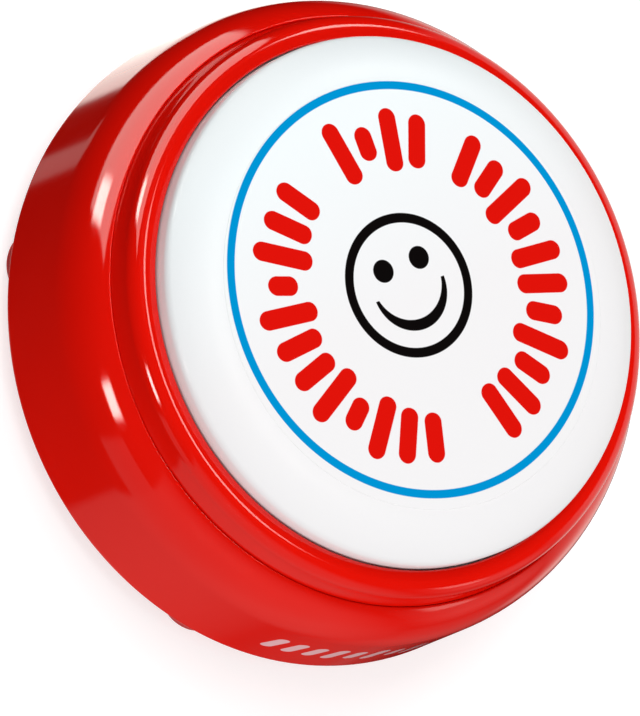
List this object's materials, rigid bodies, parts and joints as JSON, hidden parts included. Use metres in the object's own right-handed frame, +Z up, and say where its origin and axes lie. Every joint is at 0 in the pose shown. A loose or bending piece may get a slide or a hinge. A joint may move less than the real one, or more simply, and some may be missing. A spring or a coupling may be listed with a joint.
{
  "type": "recordable sound button",
  "caption": "Round table-top button: press the wide white dome to play a recorded message through a speaker in the red battery-powered base.",
  "frame": {"origin": "centre of the footprint, on the table under the feet", "axes": "+Z up along the dome's travel, -Y towards the user, +X to the right"},
  "size_m": [0.092, 0.092, 0.0354],
  "materials": {
    "red_shell": "glossy injection-moulded ABS",
    "red_ring": "glossy injection-moulded ABS",
    "red_base": "satin injection-moulded ABS",
    "white_dome": "satin white moulding",
    "print_label": "smooth laminated print",
    "grey_pad": "matte elastomer",
    "spring_steel": "bright spring wire",
    "red_rubber": "soft matte elastomer",
    "zinc_screw": "zinc plated",
    "black_foam": "open-cell foam",
    "cell_jacket": "printed film over steel",
    "nickel_plate": "nickel plated strip",
    "circuit_board": "solder mask over glass fibre",
    "black_resin": "moulded resin",
    "switch_stem": "natural nylon",
    "basket_steel": "pressed zinc plated steel",
    "cone_paper": "pressed cone with coated surround",
    "magnet_cup": "plated steel cup",
    "gasket_foam": "dense foam",
    "can_metal": "drawn can",
    "black_boot": "soft matte elastomer",
    "grey_button": "fine matte texture",
    "wire_sleeve": "PVC insulation"
  },
  "bodies": {
    "base": {"upper_housing": "red_shell", "trim_ring": "red_ring", "return_springs": "spring_steel", "base_plate": "red_base", "rubber_feet": "red_rubber", "case_screws": "zinc_screw", "battery_cell_front": "cell_jacket", "battery_cell_rear": "cell_jacket", "battery_springs": "spring_steel", "battery_terminals": "nickel_plate", "main_board": "circuit_board", "board_screws": "zinc_screw", "sound_chip": "black_resin", "board_capacitors": "black_resin", "board_resistors": "black_resin", "play_switch_body": "black_resin", "speaker_basket": "basket_steel", "speaker_cone": "cone_paper", "speaker_magnet": "magnet_cup", "speaker_gasket": "gasket_foam", "speaker_clamp_screws": "zinc_screw", "microphone_capsule": "can_metal", "microphone_boot": "black_boot", "record_board": "circuit_board", "record_board_screws": "zinc_screw", "record_switch_body": "black_resin", "speaker_wires": "wire_sleeve", "battery_wires": "wire_sleeve", "record_wires": "wire_sleeve"},
    "dome": {"button_dome": "white_dome", "face_label": "print_label", "plunger_pad": "grey_pad"},
    "play_stem": {"play_switch_stem": "switch_stem"},
    "record_key": {"record_button": "grey_button"},
    "record_stem": {"record_switch_stem": "switch_stem"},
    "door": {"battery_door": "red_base", "battery_door_foam": "black_foam", "battery_door_screw": "zinc_screw"}
  },
  "joints": [
    {"name": "dome_press", "type": "slide", "parent": "base", "child": "dome", "axis": [0, 0, -1], "range_m": [0, 0.0018], "stiffness_N_per_m": 600, "springref_m": -0.003, "deforming": ["return_springs"]},
    {"name": "play_stem_press", "type": "slide", "parent": "base", "child": "play_stem", "axis": [0, 0, -1], "range_m": [0, 0.0003]},
    {"name": "record_press", "type": "slide", "parent": "base", "child": "record_key", "axis": [0, 0, 1], "range_m": [0, 0.001], "stiffness_N_per_m": 250, "springref_m": -0.0012},
    {"name": "record_stem_press", "type": "slide", "parent": "base", "child": "record_stem", "axis": [0, 0, 1], "range_m": [0, 0.00028]},
    {"name": "door_swing", "type": "hinge", "parent": "base", "child": "door", "pos_m": [0, -0.0278, 0.0032], "axis": [1, 0, 0], "range_deg": [-70, 0]}
  ],
  "couplings": [
    {"joint": "play_stem_press", "follows": "dome_press", "ratio": 0.1666},
    {"joint": "record_stem_press", "follows": "record_press", "ratio": 0.2799}
  ]
}
